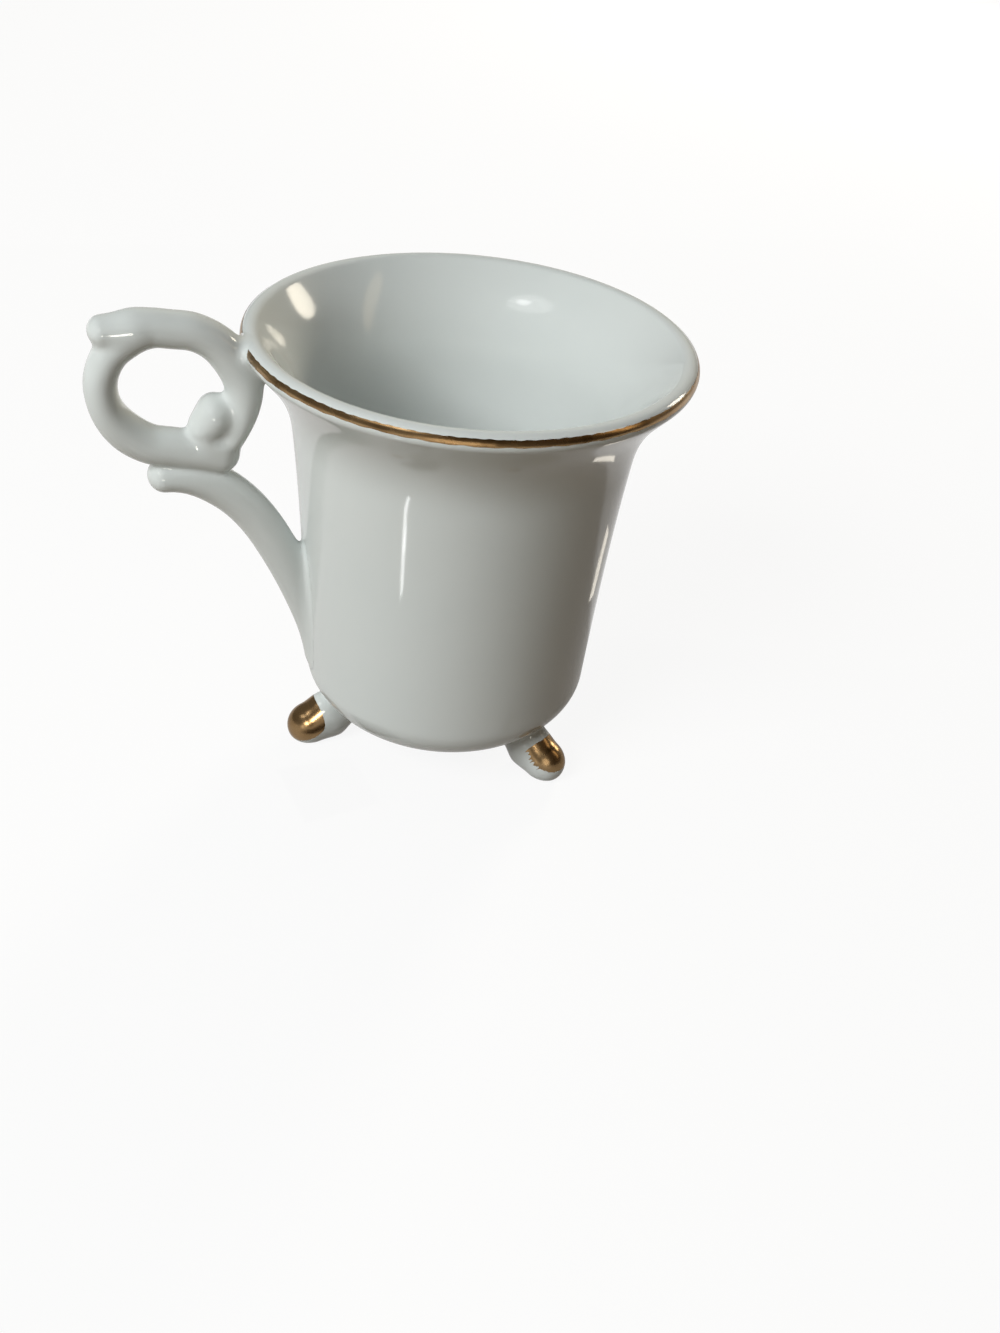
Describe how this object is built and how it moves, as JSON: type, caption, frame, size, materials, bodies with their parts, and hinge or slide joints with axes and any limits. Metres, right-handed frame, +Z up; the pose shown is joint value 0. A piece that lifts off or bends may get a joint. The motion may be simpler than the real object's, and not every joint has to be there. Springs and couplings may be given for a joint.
{
  "type": "footed mug",
  "caption": "Small bell-mouthed porcelain mug on stubby toe feet, with a scrolled finger-ring handle, a gilded lip line and gilded toes, for hot drinks.",
  "frame": {"origin": "middle of the footprint, on the surface that the mug stands on", "axes": "+Z up along the cup's axis, -X towards the handle, +Y to the side away from the picture's camera"},
  "size_m": [0.1116, 0.0846, 0.0958],
  "materials": {
    "porcelain": "clear gloss glaze over white porcelain",
    "gold_lustre": "burnished gold lustre, slightly worn"
  },
  "bodies": {
    "root": {"cup_body": "porcelain", "handle": "porcelain", "foot_under_handle": "porcelain", "foot_front_right": "porcelain", "foot_back_right": "porcelain", "rim_gilding": "gold_lustre", "toe_gilding_under_handle": "gold_lustre", "toe_gilding_front_right": "gold_lustre", "toe_gilding_back_right": "gold_lustre"}
  },
  "joints": []
}
